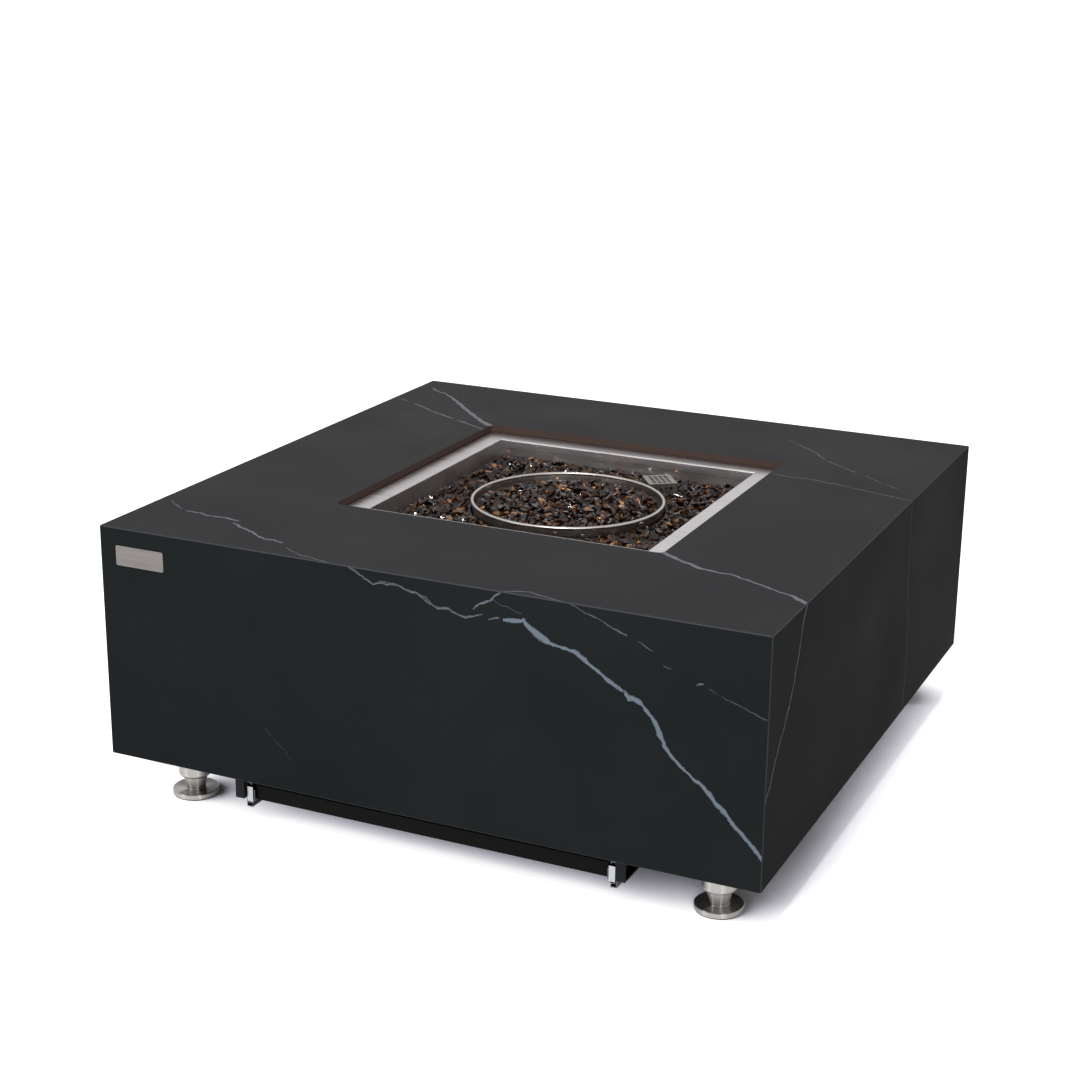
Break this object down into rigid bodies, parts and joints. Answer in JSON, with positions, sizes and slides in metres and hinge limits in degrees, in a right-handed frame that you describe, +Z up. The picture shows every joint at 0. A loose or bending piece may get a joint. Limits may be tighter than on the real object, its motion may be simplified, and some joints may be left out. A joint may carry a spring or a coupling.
{
  "type": "fire pit table",
  "caption": "Square porcelain-clad gas fire pit table with a drop-in burner pan, fire glass, levelling feet and a pull-out control drawer on ball-bearing runners.",
  "frame": {"origin": "on the floor under the middle of the square table", "axes": "+Z up, +X to the right and +Y to the back when facing the front, which is the panel with the name plate and the drawer; the front faces -Y"},
  "size_m": [0.92, 0.9209, 0.395],
  "materials": {
    "porcelain": "matt black porcelain stoneware with grey veins",
    "black_coat": "matt black powder coat",
    "stainless": "satin brushed stainless steel",
    "zinc": "bright zinc plate",
    "brass_fitting": "machined brass",
    "fire_glass": "dark brown reflective fire glass",
    "rubber_pad": "moulded rubber",
    "black_plastic": "matt black moulding",
    "white_ceramic": "glazed white insulator"
  },
  "bodies": {
    "table": {"top_slab": "porcelain", "front_panel": "porcelain", "right_panel": "porcelain", "back_panel": "porcelain", "left_panel": "porcelain", "name_plate": "stainless", "frame_top_rails": "black_coat", "frame_posts": "black_coat", "frame_bottom_rails": "black_coat", "pan_support_rails": "black_coat", "drawer_cross_rail": "black_coat", "corner_plates": "black_coat", "foot_collars": "stainless", "burner_pan": "stainless", "burner_bowl": "stainless", "burner_ring": "stainless", "gas_riser": "brass_fitting", "riser_nuts": "brass_fitting", "air_mixer": "stainless", "gas_orifice": "brass_fitting", "pilot_guard": "stainless", "pilot_bracket": "stainless", "spark_electrode": "white_ceramic", "thermocouple": "brass_fitting", "glass_bed": "fire_glass", "bowl_glass": "fire_glass", "glass_chips": "fire_glass", "bowl_chips": "fire_glass", "drawer_rail_left": "black_coat", "drawer_rail_right": "black_coat", "rail_bolts": "zinc", "runner_outer_left": "zinc", "runner_outer_right": "zinc"},
    "drawer": {"control_drawer": "black_coat", "runner_inner_left": "zinc", "runner_inner_right": "zinc", "control_bracket": "black_coat", "gas_valve": "brass_fitting", "valve_nut": "brass_fitting", "button_switch": "stainless", "igniter_module": "black_plastic"},
    "middle_runner_left": {"runner_middle_left": "zinc"},
    "middle_runner_right": {"runner_middle_right": "zinc"},
    "outer_ball_cage_left": {"outer_cage_left": "zinc"},
    "outer_ball_cage_right": {"outer_cage_right": "zinc"},
    "inner_ball_cage_left": {"inner_cage_left": "zinc"},
    "inner_ball_cage_right": {"inner_cage_right": "zinc"},
    "knob_carrier": {"stem_washer": "stainless"},
    "knob": {"control_knob": "black_plastic", "valve_stem": "brass_fitting"},
    "button": {"igniter_button": "black_plastic"},
    "cap": {"battery_cap": "black_plastic"},
    "foot_front_left": {"levelling_foot_front_left": "stainless", "foot_pad_front_left": "rubber_pad"},
    "foot_front_right": {"levelling_foot_front_right": "stainless", "foot_pad_front_right": "rubber_pad"},
    "foot_back_left": {"levelling_foot_back_left": "stainless", "foot_pad_back_left": "rubber_pad"},
    "foot_back_right": {"levelling_foot_back_right": "stainless", "foot_pad_back_right": "rubber_pad"}
  },
  "joints": [
    {"name": "drawer_slide", "type": "slide", "parent": "table", "child": "drawer", "axis": [0, -1, 0], "range_m": [0, 0.25]},
    {"name": "middle_slide_left", "type": "slide", "parent": "table", "child": "middle_runner_left", "axis": [0, -1, 0], "range_m": [0, 0.125]},
    {"name": "middle_slide_right", "type": "slide", "parent": "table", "child": "middle_runner_right", "axis": [0, -1, 0], "range_m": [0, 0.125]},
    {"name": "outer_cage_slide_left", "type": "slide", "parent": "table", "child": "outer_ball_cage_left", "axis": [0, -1, 0], "range_m": [0, 0.0625]},
    {"name": "outer_cage_slide_right", "type": "slide", "parent": "table", "child": "outer_ball_cage_right", "axis": [0, -1, 0], "range_m": [0, 0.0625]},
    {"name": "inner_cage_slide_left", "type": "slide", "parent": "table", "child": "inner_ball_cage_left", "axis": [0, -1, 0], "range_m": [0, 0.1875]},
    {"name": "inner_cage_slide_right", "type": "slide", "parent": "table", "child": "inner_ball_cage_right", "axis": [0, -1, 0], "range_m": [0, 0.1875]},
    {"name": "knob_push", "type": "slide", "parent": "drawer", "child": "knob_carrier", "axis": [0, 0, -1], "range_m": [0, 0.0018], "stiffness_N_per_m": 800, "springref_m": -0.002},
    {"name": "knob_turn", "type": "hinge", "parent": "knob_carrier", "child": "knob", "pos_m": [-0.06, -0.356, 0.064], "axis": [0, 0, 1], "range_deg": [0, 210]},
    {"name": "button_push", "type": "slide", "parent": "drawer", "child": "button", "axis": [0, 0, -1], "range_m": [0, 0.003], "stiffness_N_per_m": 600, "springref_m": -0.002},
    {"name": "battery_cap_turn", "type": "hinge", "parent": "drawer", "child": "cap", "pos_m": [0.171, -0.391, 0.0487], "axis": [0, -1, 0], "range_deg": [0, 90]},
    {"name": "foot_screw_front_left", "type": "slide", "parent": "table", "child": "foot_front_left", "axis": [0, 0, -1], "range_m": [0, 0.012]},
    {"name": "foot_screw_front_right", "type": "slide", "parent": "table", "child": "foot_front_right", "axis": [0, 0, -1], "range_m": [0, 0.012]},
    {"name": "foot_screw_back_left", "type": "slide", "parent": "table", "child": "foot_back_left", "axis": [0, 0, -1], "range_m": [0, 0.012]},
    {"name": "foot_screw_back_right", "type": "slide", "parent": "table", "child": "foot_back_right", "axis": [0, 0, -1], "range_m": [0, 0.012]}
  ],
  "couplings": [
    {"joint": "middle_slide_left", "follows": "drawer_slide", "ratio": 0.5},
    {"joint": "middle_slide_right", "follows": "drawer_slide", "ratio": 0.5},
    {"joint": "outer_cage_slide_left", "follows": "drawer_slide", "ratio": 0.25},
    {"joint": "outer_cage_slide_right", "follows": "drawer_slide", "ratio": 0.25},
    {"joint": "inner_cage_slide_left", "follows": "drawer_slide", "ratio": 0.75},
    {"joint": "inner_cage_slide_right", "follows": "drawer_slide", "ratio": 0.75}
  ]
}
